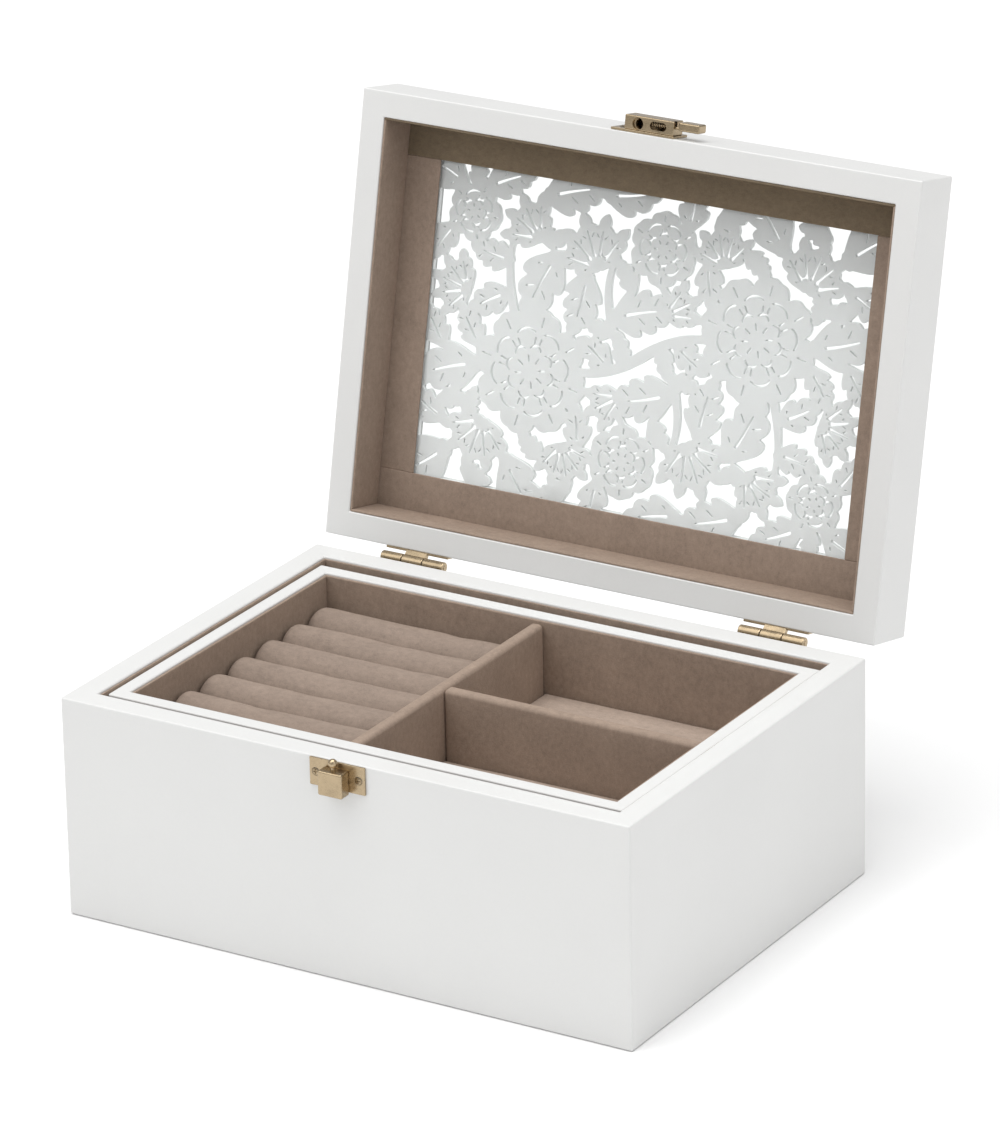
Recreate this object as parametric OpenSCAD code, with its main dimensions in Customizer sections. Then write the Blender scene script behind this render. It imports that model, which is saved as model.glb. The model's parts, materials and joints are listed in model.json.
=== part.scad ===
// Jewellery box: lacquered box with a hinged, glazed and fretted lid, a lift-out ring tray and a ball catch.
// Origin: centre of the underside. +X is the box's right, -Y its front, +Z up. All sizes in millimetres.

/* [Box] */
// Outside width of box and lid
box_w = 260; // [240:1:280]
// Outside depth of box and lid
box_d = 188; // [180:1:210]
// Height of the lower box up to its rim
base_h = 94; // [88:1:110]
// Thickness of the lower box's walls
wall_t = 10.6; // [9:0.1:12]
// Thickness of the bottom board
floor_t = 5; // [4:0.5:8]
// Thickness of the pad that covers the bottom board
floor_pad_t = 3; // [2:0.5:4]
// Thickness of the suede-covered card that lines the walls
lining_t = 0.8; // [0.6:0.1:1.2]

/* [Lid] */
// How far the lid stands open
lid_open = 102; // [0:1:102]
// Height of the lid
lid_h = 26.5; // [26:0.5:30]
// Thickness of the lid's rails
rail_t = 10.9; // [10:0.1:12]
// Air between the rims of lid and box when shut
rim_gap = 0.3; // [0.2:0.1:0.6]
// Width of the flat suede strips round the window
ledge_w = 16.8; // [14:0.1:20]
// Thickness of the lid's top board
top_t = 4.8; // [4.6:0.1:5.4]
// Thickness of the fretted panel
fret_t = 2; // [1.6:0.1:2.2]
// Thickness of the glass
glass_t = 1.6; // [1.2:0.1:1.8]
// How far glass and fretted panel reach under the lip of the top board
rebate = 5; // [3:0.5:6]

/* [Tray] */
// Outside width of the tray
tray_w = 236; // [215:1:236]
// Outside depth of the tray
tray_d = 157; // [150:1:164]
// Height of the tray
tray_h = 39.6; // [36:0.1:44]
// Thickness of the tray's walls
tray_wall_t = 6.4; // [5:0.1:8]
// Thickness of the tray's bottom board
tray_floor_t = 4; // [3:0.5:5]
// Thickness of the pads in the open compartments
tray_pad_t = 4.4; // [3:0.1:6]
// Thickness of the card that lines the tray
tray_lining_t = 1.2; // [0.8:0.1:1.6]
// Thickness of a covered divider
divider_t = 5.6; // [4:0.1:7]
// Number of ring rolls
roll_n = 7; // [5:1:8]
// Height of the ring rolls above the bottom of the tray
roll_top = 29.2; // [26:0.1:32]

/* [Hinges] */
// Distance of each hinge from the middle of the box
hinge_x = 85; // [60:1:95]
// Length of a hinge
hinge_len = 30; // [24:1:36]
// How far the hinge axis stands behind the back faces
hinge_back = 4.3; // [4.1:0.1:5]
// How far the hinge axis lies below the rim of the box
hinge_drop = 1.2; // [1:0.1:1.6]
// Radius of a hinge knuckle
knuckle_r = 2.4; // [2.2:0.1:2.6]
// Radius of a hinge pin
pin_r = 1; // [0.8:0.1:1.2]

/* [Catch] */
// Radius of the catch's ball
ball_r = 1.9; // [1.6:0.1:1.9]
// Radius of the hole in the lid that takes the ball
ball_hole_r = 2.5; // [2.3:0.1:2.6]
// How far the sliding thumb piece can be pressed in
slide_travel = 1.5; // [1:0.1:1.5]

/* [Hidden] */
$fn = 64;
EPS = 0.01;

WHITE = [0.93, 0.93, 0.92];
SUEDE = [0.55, 0.47, 0.42];
BRASS = [0.78, 0.66, 0.43];
GLASS = [0.8, 0.9, 0.9, 0.35];

front_y = -box_d / 2;
back_y = box_d / 2;

// Inside faces of the lined lower box
base_in_w = box_w - 2 * (wall_t + lining_t);
base_in_d = box_d - 2 * (wall_t + lining_t);
base_pad_top = floor_t + floor_pad_t;
lining_below_rim = 1;

// The tray rests with its rim a little below the rim of the box
tray_below_rim = 1.8;
tray_z = base_h - tray_below_rim - tray_h;
support_w = 6;
support_gap = 0.1;

// Heights in the lid, given with the lid shut
lid_z = base_h + rim_gap;
lid_top_z = lid_z + lid_h;
board_z = lid_top_z - top_t;
ledge_t = 1;
ledge_z = board_z - ledge_t;
lid_lining_t = 1;
lid_lining_z = lid_z + 0.4;
panel_fit = 0.2;
window_w = box_w - 2 * (rail_t + ledge_w);
window_d = box_d - 2 * (rail_t + ledge_w);
rebate_h = glass_t + fret_t;

// Hinge: one axis for both hinges
hinge_y = back_y + hinge_back;
hinge_z = base_h - hinge_drop;
leaf_t = 1;
leaf_h = 11.5;
leaf_start = 2;
knuckle_gap = 0.2;
knuckle_len = (hinge_len - 2 * knuckle_gap) / 3;
pin_clearance = 0.04;
// Web from leaf to knuckles: width behind and in front, reach past and short of the axis
web_root = 1.2;
web_root_front = 1.4;
web_past_axis = 0.3;
web_short_of_axis = 1.7;
web_top = knuckle_r - 0.4;

// Screws, all alike
screw_head_r = 1.6;
screw_shank_r = 0.8;
screw_len = 8;
slot_w = 0.4;
slot_len = 2.24;
slot_depth = 0.6;
plate_t = leaf_t;
hinge_screws = [-10.5, 0, 10.5];
hinge_screw_z = leaf_start + leaf_h / 2 + 1.4;

// Lower half of the catch, on the front of the box
keeper_w = 25.2;
keeper_h = 11.6;
keeper_top = base_h - 0.4;
keeper_screw_x = 9.8;
keeper_z = keeper_top - keeper_h;
block_w = 11;
block_h = 10.2;
block_d = 5.8;
block_z = base_h - 13;
ball_y = front_y - 3.8;
ball_z = base_h + 0.2;
neck_r = 1;
neck_root = 3.2;

// Upper half of the catch, on the front of the lid, given with the lid shut
catch_x = [-12.2, 17];
catch_h = 11.6;
catch_z = lid_z + 0.2;
catch_screws = [[-9.4, catch_z + 5.7], [13.5, catch_z + 9.9]];
housing_x = [-6.2, 16.5];
housing_z = catch_z + 0.2;
housing_h = 8.2;
housing_d = 6;
housing_t = 0.8;
housing_front = front_y - plate_t - housing_d;
slide_fit = 0.2;
slide_t = 1.4;
slide_z = housing_z + housing_t + slide_fit;
slide_x = [-3.4, 13];
tongue_y = front_y - 5.8;
tongue_d = 2.2;
tab_x = [18.2, 27.7];
tab_y = front_y - 7;
tab_d = 3.6;
tab_h = 6.4;
window_x = [5.6, 13.2];
window_r = 1.7;
window_y = front_y - 4;

// Inside faces of the lined tray, and its dividers
tray_in_w = tray_w - 2 * (tray_wall_t + tray_lining_t);
tray_in_d = tray_d - 2 * (tray_wall_t + tray_lining_t);
tray_lining_top = tray_h - 0.8;
divider_top = tray_h - 1.8;
divider_x = -8.5;
divider_y = -4.7;
roll_gap = 0.3;
roll_pitch = tray_in_d / roll_n;
roll_r = roll_pitch / 2 - roll_gap;
roll_len = divider_x - divider_t / 2 + tray_in_w / 2 - 2 * roll_gap;

// Fretted panel: flowers of lens-shaped openings, a column of them every flower_step
flower_cols = 5;
flower_rows = 3;
petals = 6;
petal_len = 14;
petal_arc_r = 9;
petal_offset = 5.6;
petal_start = 12;
flower_eye_r = 2.2;

// ---------- placing ----------

// Turns a piece, drawn with the lid shut, to the angle at which the lid stands open
module lid_pose() {
    translate([0, hinge_y, hinge_z])
        rotate([-lid_open, 0, 0])
            translate([0, -hinge_y, -hinge_z])
                children();
}

// Lifts a piece, drawn on z = 0, to the tray's place in the box
module tray_pose() {
    translate([0, 0, tray_z])
        children();
}

// The four sides of a mitred frame: 0 front, 1 right, 2 back, 3 left
module mitred_side(side, w, d, t, z, h) {
    along = side % 2 == 0 ? w : d;
    across = side % 2 == 0 ? d : w;
    translate([0, 0, z])
        rotate([0, 0, 90 * side])
            linear_extrude(h)
                polygon([
                    [-along / 2, -across / 2], [along / 2, -across / 2],
                    [along / 2 - t, -across / 2 + t], [-along / 2 + t, -across / 2 + t]
                ]);
}

// The four strips of a butt-jointed lining: front and back run the full width, the sides fit between
module lining_side(side, w, d, t, z, h) {
    along = side % 2 == 0 ? w : d - 2 * t;
    across = side % 2 == 0 ? d : w;
    translate([0, 0, z])
        rotate([0, 0, 90 * side])
            translate([-along / 2, -across / 2, 0])
                cube([along, t, h]);
}

// ---------- screws ----------

// Solid outline of a countersunk screw: its head flush with z = 0, its shank down
module screw_body() {
    translate([0, 0, -plate_t])
        cylinder(h = plate_t, r1 = screw_shank_r, r2 = screw_head_r);
    translate([0, 0, -screw_len])
        cylinder(h = screw_len - plate_t + EPS, r = screw_shank_r);
}

module screw() {
    difference() {
        screw_body();
        for (turn = [0, 90])
            rotate([0, 0, turn])
                translate([-slot_len / 2, -slot_w / 2, -slot_depth])
                    cube([slot_len, slot_w, slot_depth + 1]);
    }
}

module on_front(x, z) {
    translate([x, front_y - plate_t, z])
        rotate([90, 0, 0])
            children();
}

module on_back(x, z) {
    translate([x, back_y + leaf_t, z])
        rotate([-90, 0, 0])
            children();
}

module at_keeper_screws() {
    for (side = [-1, 1])
        on_front(side * keeper_screw_x, keeper_z + keeper_h / 2)
            children();
}

module at_catch_screws() {
    for (place = catch_screws)
        on_front(place[0], place[1])
            children();
}

// up is 1 for the leaf on the lid and -1 for the leaf on the box
module at_hinge_screws(up, sides = [-1, 1]) {
    for (side = sides, along = hinge_screws)
        on_back(side * hinge_x + along, hinge_z + up * hinge_screw_z)
            children();
}

// ---------- lower box ----------

module base_panel(side) {
    mitred_side(side, box_w, box_d, wall_t, 0, base_h);
}

module base_front() {
    color(WHITE)
        difference() {
            base_panel(0);
            at_keeper_screws() screw_body();
        }
}

module base_right() {
    color(WHITE) base_panel(1);
}

module base_back() {
    color(WHITE)
        difference() {
            base_panel(2);
            at_hinge_screws(-1) screw_body();
        }
}

module base_left() {
    color(WHITE) base_panel(3);
}

module base_floor() {
    w = box_w - 2 * wall_t;
    d = box_d - 2 * wall_t;
    color(WHITE)
        translate([-w / 2, -d / 2, 0])
            cube([w, d, floor_t]);
}

module base_lining(side) {
    color(SUEDE)
        lining_side(side, box_w - 2 * wall_t, box_d - 2 * wall_t, lining_t,
            floor_t, base_h - lining_below_rim - floor_t);
}

module base_floor_pad() {
    color(SUEDE)
        translate([-base_in_w / 2, -base_in_d / 2, floor_t])
            cube([base_in_w, base_in_d, floor_pad_t]);
}

// Two strips on which the ends of the tray rest
module tray_supports() {
    color(SUEDE)
        for (side = [-1, 1])
            translate([side * (base_in_w - support_w) / 2 - support_w / 2, -base_in_d / 2, base_pad_top])
                cube([support_w, base_in_d, tray_z - support_gap - base_pad_top]);
}

// ---------- catch on the lower box ----------

module keeper_plate() {
    color(BRASS)
        difference() {
            translate([-keeper_w / 2, front_y - plate_t, keeper_z])
                cube([keeper_w, plate_t, keeper_h]);
            at_keeper_screws() screw_body();
        }
}

module keeper_block() {
    color(BRASS)
        difference() {
            translate([-block_w / 2, front_y - plate_t - block_d, block_z])
                cube([block_w, block_d, block_h]);
            translate([0, ball_y, block_z + block_h - neck_root])
                cylinder(h = neck_root + 1, r = neck_r);
        }
}

module keeper_ball() {
    neck_z = block_z + block_h - neck_root;
    color(BRASS) {
        translate([0, ball_y, neck_z])
            cylinder(h = ball_z - neck_z, r = neck_r);
        translate([0, ball_y, ball_z])
            sphere(r = ball_r);
    }
}

// ---------- hinges ----------

// Side view of a leaf: u runs away from the wood, v away from the hinge axis
module leaf_plate_outline() {
    translate([0, leaf_start])
        square([leaf_t, leaf_h]);
}

module leaf_web_outline() {
    polygon([
        [0, leaf_start], [0, leaf_start + web_root], [leaf_t, leaf_start + web_root_front],
        [hinge_back + web_past_axis, web_top], [hinge_back - web_short_of_axis, 0]
    ]);
    translate([hinge_back, 0])
        circle(r = knuckle_r);
}

// A stretch of an outline, drawn along x; up is 1 for the lid and -1 for the box
module leaf_stretch(up, start, length) {
    translate([start, back_y, hinge_z])
        rotate([90, 0, 90])
            mirror([0, up < 0 ? 1 : 0, 0])
                linear_extrude(length)
                    children();
}

module hinge_leaf(side, up) {
    left_end = side * hinge_x - hinge_len / 2;
    starts = up > 0 ? [1] : [0, 2];
    bore_r = up > 0 ? pin_r + pin_clearance : pin_r;
    color(BRASS)
        difference() {
            union() {
                leaf_stretch(up, left_end, hinge_len)
                    leaf_plate_outline();
                for (i = starts)
                    leaf_stretch(up, left_end + i * (knuckle_len + knuckle_gap), knuckle_len)
                        leaf_web_outline();
            }
            hinge_axis_bar(side, bore_r, 1);
            at_hinge_screws(up, [side]) screw_body();
        }
}

module hinge_axis_bar(side, r, extra = 0) {
    translate([side * hinge_x - hinge_len / 2 - extra, hinge_y, hinge_z])
        rotate([0, 90, 0])
            cylinder(h = hinge_len + 2 * extra, r = r);
}

module hinge_pins() {
    color(BRASS)
        for (side = [-1, 1])
            hinge_axis_bar(side, pin_r);
}

module base_screws() {
    color(BRASS) {
        at_keeper_screws() screw();
        at_hinge_screws(-1) screw();
    }
}

// ---------- lid ----------

module lid_rail(side) {
    mitred_side(side, box_w, box_d, rail_t, lid_z, board_z - lid_z);
}

module lid_front() {
    color(WHITE)
        lid_pose()
            difference() {
                lid_rail(0);
                at_catch_screws() screw_body();
            }
}

module lid_right() {
    color(WHITE) lid_pose() lid_rail(1);
}

module lid_back() {
    color(WHITE)
        lid_pose()
            difference() {
                lid_rail(2);
                at_hinge_screws(1) screw_body();
            }
}

module lid_left() {
    color(WHITE) lid_pose() lid_rail(3);
}

module window_opening(extra, z, h) {
    w = window_w + 2 * extra;
    d = window_d + 2 * extra;
    translate([-w / 2, -d / 2, z])
        cube([w, d, h]);
}

module lid_top_board() {
    color(WHITE)
        lid_pose()
            difference() {
                translate([-box_w / 2, -box_d / 2, board_z])
                    cube([box_w, box_d, top_t]);
                window_opening(0, board_z - 1, top_t + 2);
                window_opening(rebate, board_z - 1, rebate_h + 1);
            }
}

module lid_glass() {
    color(GLASS)
        lid_pose()
            window_opening(rebate - panel_fit, board_z, glass_t);
}

// One petal: the lens where two circles overlap
module petal_outline() {
    translate([petal_start, 0])
        intersection_for(side = [-1, 1])
            translate([0, side * petal_offset])
                circle(r = petal_arc_r);
}

module flower_outline() {
    circle(r = flower_eye_r);
    for (i = [0:petals - 1])
        rotate(i * 360 / petals)
            petal_outline();
}

module lid_fretwork() {
    w = window_w + 2 * (rebate - panel_fit);
    d = window_d + 2 * (rebate - panel_fit);
    step_x = window_w / flower_cols;
    step_y = window_d / flower_rows;
    color(WHITE)
        lid_pose()
            translate([0, 0, board_z + glass_t])
                linear_extrude(fret_t)
                    difference() {
                        square([w, d], center = true);
                        for (col = [0:flower_cols - 1], row = [0:flower_rows - 1])
                            translate([
                                (col - (flower_cols - 1) / 2) * step_x,
                                (row - (flower_rows - 1) / 2) * step_y
                            ])
                                flower_outline();
                    }
}

module lid_lining(side) {
    color(SUEDE)
        lid_pose()
            lining_side(side, box_w - 2 * rail_t, box_d - 2 * rail_t, lid_lining_t,
                lid_lining_z, ledge_z - lid_lining_z);
}

module lid_ledge(side) {
    color(SUEDE)
        lid_pose()
            lining_side(side, box_w - 2 * rail_t, box_d - 2 * rail_t, ledge_w, ledge_z, ledge_t);
}

// ---------- catch on the lid ----------

module catch_plate() {
    color(BRASS)
        lid_pose()
            difference() {
                translate([catch_x[0], front_y - plate_t, catch_z])
                    cube([catch_x[1] - catch_x[0], plate_t, catch_h]);
                at_catch_screws() screw_body();
            }
}

// A slot with round ends along x, cut upwards from z
module round_ended_slot(ends, y, r, z, h) {
    for (x = [ends[0] + r, ends[1] - r])
        translate([x, y, z])
            cylinder(h = h, r = r);
    translate([ends[0] + r, y - r, z])
        cube([ends[1] - ends[0] - 2 * r, 2 * r, h]);
}

module catch_housing() {
    w = housing_x[1] - housing_x[0];
    color(BRASS)
        lid_pose()
            difference() {
                translate([housing_x[0], housing_front, housing_z])
                    cube([w, housing_d, housing_h]);
                translate([housing_x[0] + housing_t, housing_front + housing_t, housing_z + housing_t])
                    cube([w - 2 * housing_t, housing_d, housing_h - 2 * housing_t]);
                translate([0, ball_y, housing_z - 1])
                    cylinder(h = housing_t + 2, r = ball_hole_r);
                round_ended_slot(window_x, window_y, window_r, housing_z - 1, housing_t + 2);
                translate([housing_x[1] - 2 * housing_t, tongue_y - slide_fit, slide_z - slide_fit])
                    cube([3 * housing_t, tongue_d + 2 * slide_fit, slide_t + 2 * slide_fit]);
            }
}

// Flat slide with a slot for the ball, a tongue through the housing's end wall, and a thumb tab
module catch_slide() {
    slot_r = ball_r + 0.1;
    slide_y = housing_front + housing_t + slide_fit;
    color(BRASS)
        lid_pose()
            difference() {
                union() {
                    translate([slide_x[0], slide_y, slide_z])
                        cube([slide_x[1] - slide_x[0], front_y - plate_t - slide_fit - slide_y, slide_t]);
                    translate([slide_x[1] - EPS, tongue_y, slide_z])
                        cube([tab_x[0] - slide_x[1] + 2 * EPS, tongue_d, slide_t]);
                    translate([tab_x[0], tab_y, slide_z - slide_fit])
                        cube([tab_x[1] - tab_x[0], tab_d, tab_h]);
                }
                round_ended_slot([-slot_r, slot_r + slide_travel], ball_y, slot_r, slide_z - 1, slide_t + 2);
            }
}

module lid_screws() {
    color(BRASS)
        lid_pose() {
            at_catch_screws() screw();
            at_hinge_screws(1) screw();
        }
}

// ---------- tray ----------

module tray_panel(side) {
    color(WHITE)
        tray_pose()
            mitred_side(side, tray_w, tray_d, tray_wall_t, 0, tray_h);
}

module tray_floor() {
    w = tray_w - 2 * tray_wall_t;
    d = tray_d - 2 * tray_wall_t;
    color(WHITE)
        tray_pose()
            translate([-w / 2, -d / 2, 0])
                cube([w, d, tray_floor_t]);
}

module tray_lining(side) {
    color(SUEDE)
        tray_pose()
            lining_side(side, tray_w - 2 * tray_wall_t, tray_d - 2 * tray_wall_t, tray_lining_t,
                tray_floor_t, tray_lining_top - tray_floor_t);
}

// A block on the tray's bottom board, between two corners
module tray_block(low, high, top) {
    color(SUEDE)
        tray_pose()
            translate([low[0], low[1], tray_floor_t])
                cube([high[0] - low[0], high[1] - low[1], top - tray_floor_t]);
}

module tray_divider_long() {
    tray_block(
        [divider_x - divider_t / 2, -tray_in_d / 2],
        [divider_x + divider_t / 2, tray_in_d / 2],
        divider_top
    );
}

module tray_divider_cross() {
    tray_block([divider_x + divider_t / 2, divider_y - divider_t / 2],
        [tray_in_w / 2, divider_y + divider_t / 2], divider_top);
}

module tray_pad_back() {
    tray_block([divider_x + divider_t / 2, divider_y + divider_t / 2],
        [tray_in_w / 2, tray_in_d / 2], tray_floor_t + tray_pad_t);
}

module tray_pad_front() {
    tray_block([divider_x + divider_t / 2, -tray_in_d / 2],
        [tray_in_w / 2, divider_y - divider_t / 2], tray_floor_t + tray_pad_t);
}

// Round-topped roll across the left compartment; number 1 is the one at the back
module ring_roll(number) {
    centre_z = roll_top - roll_r;
    color(SUEDE)
        tray_pose()
            translate([-tray_in_w / 2 + roll_gap, tray_in_d / 2 - (number - 0.5) * roll_pitch, 0])
                rotate([90, 0, 90])
                    linear_extrude(roll_len) {
                        translate([-roll_r, tray_floor_t])
                            square([2 * roll_r, centre_z - tray_floor_t]);
                        translate([0, centre_z])
                            circle(r = roll_r);
                    }
}

// ---------- nodes ----------

base_front();
base_back();
base_left();
base_right();
base_floor();
base_lining(0);  // base_lining_front
base_lining(2);  // base_lining_back
base_lining(3);  // base_lining_left
base_lining(1);  // base_lining_right
base_floor_pad();
tray_supports();
keeper_plate();
keeper_block();
keeper_ball();
hinge_leaf(-1, -1);  // hinge_base_leaf_left
hinge_leaf(1, -1);  // hinge_base_leaf_right
hinge_pins();
base_screws();
lid_front();
lid_back();
lid_left();
lid_right();
lid_top_board();
lid_glass();
lid_fretwork();
lid_lining(0);  // lid_lining_front
lid_lining(2);  // lid_lining_back
lid_lining(3);  // lid_lining_left
lid_lining(1);  // lid_lining_right
lid_ledge(0);  // lid_ledge_front
lid_ledge(2);  // lid_ledge_back
lid_ledge(3);  // lid_ledge_left
lid_ledge(1);  // lid_ledge_right
catch_plate();
catch_housing();
catch_slide();
lid_pose() hinge_leaf(-1, 1);  // hinge_lid_leaf_left
lid_pose() hinge_leaf(1, 1);  // hinge_lid_leaf_right
lid_screws();
tray_panel(0);  // tray_front
tray_panel(2);  // tray_back
tray_panel(3);  // tray_left
tray_panel(1);  // tray_right
tray_floor();
tray_lining(0);  // tray_lining_front
tray_lining(2);  // tray_lining_back
tray_lining(3);  // tray_lining_left
tray_lining(1);  // tray_lining_right
tray_divider_long();
tray_divider_cross();
tray_pad_back();
tray_pad_front();
ring_roll(1);  // ring_roll_1
ring_roll(2);  // ring_roll_2
ring_roll(3);  // ring_roll_3
ring_roll(4);  // ring_roll_4
ring_roll(5);  // ring_roll_5
ring_roll(6);  // ring_roll_6
ring_roll(7);  // ring_roll_7
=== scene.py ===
"""Looks of a jewellery box: lacquer, suede linings, ring rolls, brass fittings and a glazed floral fretwork.

Shapes are drawn in millimetres, in the places of the CAD nodes that they stand for, with the lid shut.
Each piece is then turned to where its body is at rest, so the lid's pieces stand open.
"""

import json
import math

import bmesh
import bpy
import numpy as np
from mathutils import Matrix, Quaternion, Vector, noise
from mathutils.geometry import delaunay_2d_cdt

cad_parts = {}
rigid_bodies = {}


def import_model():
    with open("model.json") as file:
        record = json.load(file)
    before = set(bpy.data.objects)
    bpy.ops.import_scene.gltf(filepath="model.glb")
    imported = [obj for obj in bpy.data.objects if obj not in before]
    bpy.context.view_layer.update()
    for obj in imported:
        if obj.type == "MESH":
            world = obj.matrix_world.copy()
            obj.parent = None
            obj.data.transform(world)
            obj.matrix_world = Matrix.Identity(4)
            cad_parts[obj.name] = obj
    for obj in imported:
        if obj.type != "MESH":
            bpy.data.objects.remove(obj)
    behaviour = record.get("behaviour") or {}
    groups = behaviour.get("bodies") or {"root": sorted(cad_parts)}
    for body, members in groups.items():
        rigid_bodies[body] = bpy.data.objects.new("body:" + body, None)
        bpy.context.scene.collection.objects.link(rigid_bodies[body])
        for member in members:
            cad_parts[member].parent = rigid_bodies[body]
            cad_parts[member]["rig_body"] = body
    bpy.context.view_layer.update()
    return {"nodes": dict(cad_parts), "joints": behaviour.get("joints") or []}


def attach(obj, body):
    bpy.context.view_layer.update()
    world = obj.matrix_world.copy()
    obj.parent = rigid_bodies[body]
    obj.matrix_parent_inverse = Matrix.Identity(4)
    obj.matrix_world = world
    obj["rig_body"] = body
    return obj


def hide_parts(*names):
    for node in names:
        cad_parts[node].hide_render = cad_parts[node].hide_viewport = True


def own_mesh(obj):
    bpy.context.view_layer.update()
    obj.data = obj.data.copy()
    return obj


MM = 0.001
SIDES = ("front", "right", "back", "left")

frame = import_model()
joints = {joint["name"]: joint for joint in frame["joints"]}


# ---------- places ----------

def turn_about(joint, degrees):
    """The matrix that turns a point round a hinge of the record."""
    centre = Matrix.Translation(Vector(joint["pos_m"]))
    return centre @ Matrix.Rotation(math.radians(degrees), 4, Vector(joint["axis"])) @ centre.inverted()


LID_OPEN = turn_about(joints["lid_hinge"], -joints["lid_hinge"]["range_deg"][1])
PLACES = {"base": Matrix(), "tray": Matrix(), "lid": LID_OPEN, "catch_slide": LID_OPEN}


def home_box(*names):
    """Lowest and highest corner round CAD nodes in millimetres, with the lid shut."""
    corners = []
    for name in names:
        back = PLACES[frame["nodes"][name]["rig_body"]].inverted()
        points = np.array([back @ vertex.co for vertex in frame["nodes"][name].data.vertices])
        corners += [points.min(0), points.max(0)]
    return np.min(corners, 0) / MM, np.max(corners, 0) / MM


# ---------- camera, floor and light ----------

CAMERA_PLACE = (1.268, -2.0388, 1.1016)
CAMERA_AZIMUTH = 31.528
CAMERA_ELEVATION = 21.845
CAMERA_ROLL = -1.1
CAMERA_LENS = 206.6
# Height of the point that the lamps are aimed at
LAMP_AIM_HEIGHT = 0.1
FLOOR_HALF_WIDTH = 9
# The floor lies this far below the box, so that the two never share a face
FLOOR_DROP = 0.0002


def direction(azimuth, elevation):
    """Unit vector from the object towards a place at that azimuth and elevation."""
    a = math.radians(azimuth)
    e = math.radians(elevation)
    return Vector((math.sin(a) * math.cos(e), -math.cos(a) * math.cos(e), math.sin(e)))


def make_camera():
    data = bpy.data.cameras.new("camera")
    data.lens = CAMERA_LENS
    camera = bpy.data.objects.new("camera", data)
    bpy.context.scene.collection.objects.link(camera)
    camera.location = CAMERA_PLACE
    camera.rotation_mode = "QUATERNION"
    looking = (-direction(CAMERA_AZIMUTH, CAMERA_ELEVATION)).to_track_quat("-Z", "Y")
    camera.rotation_quaternion = looking @ Quaternion((0, 0, 1), math.radians(CAMERA_ROLL))
    bpy.context.scene.camera = camera


def area_light(name, azimuth, elevation, distance, size, power):
    """A round white lamp that faces the object: distance and size in metres, power in watts."""
    data = bpy.data.lights.new(name, "AREA")
    data.shape = "DISK"
    data.size = size
    data.energy = power
    lamp = bpy.data.objects.new(name, data)
    bpy.context.scene.collection.objects.link(lamp)
    out = direction(azimuth, elevation)
    lamp.location = out * distance + Vector((0, 0, LAMP_AIM_HEIGHT))
    lamp.rotation_mode = "QUATERNION"
    lamp.rotation_quaternion = (-out).to_track_quat("-Z", "Y")


def make_studio():
    mesh = bpy.data.meshes.new("floor")
    half = FLOOR_HALF_WIDTH
    corners = [(-half, -half, 0), (half, -half, 0), (half, half, 0), (-half, half, 0)]
    mesh.from_pydata(corners, [], [(0, 1, 2, 3)])
    floor = bpy.data.objects.new("floor", mesh)
    bpy.context.scene.collection.objects.link(floor)
    floor.location.z = -FLOOR_DROP
    material = bpy.data.materials.new("pale_floor")
    material.use_nodes = True
    shader = material.node_tree.nodes["Principled BSDF"]
    shader.inputs["Base Color"].default_value = (0.93, 0.93, 0.93, 1)
    shader.inputs["Roughness"].default_value = 0.9
    mesh.materials.append(material)
    world = bpy.data.worlds.new("studio")
    bpy.context.scene.world = world
    world.use_nodes = True
    world.node_tree.nodes["Background"].inputs["Color"].default_value = (1, 1, 1, 1)
    world.node_tree.nodes["Background"].inputs["Strength"].default_value = 0.5
    area_light("key", -38, 48, 3.0, 2.6, 24)
    area_light("fill", 78, 30, 3.2, 2.4, 12)
    area_light("top", 0, 89, 5.0, 4.5, 190)
    bpy.context.scene.view_settings.view_transform = "Standard"


# ---------- materials ----------

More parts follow.
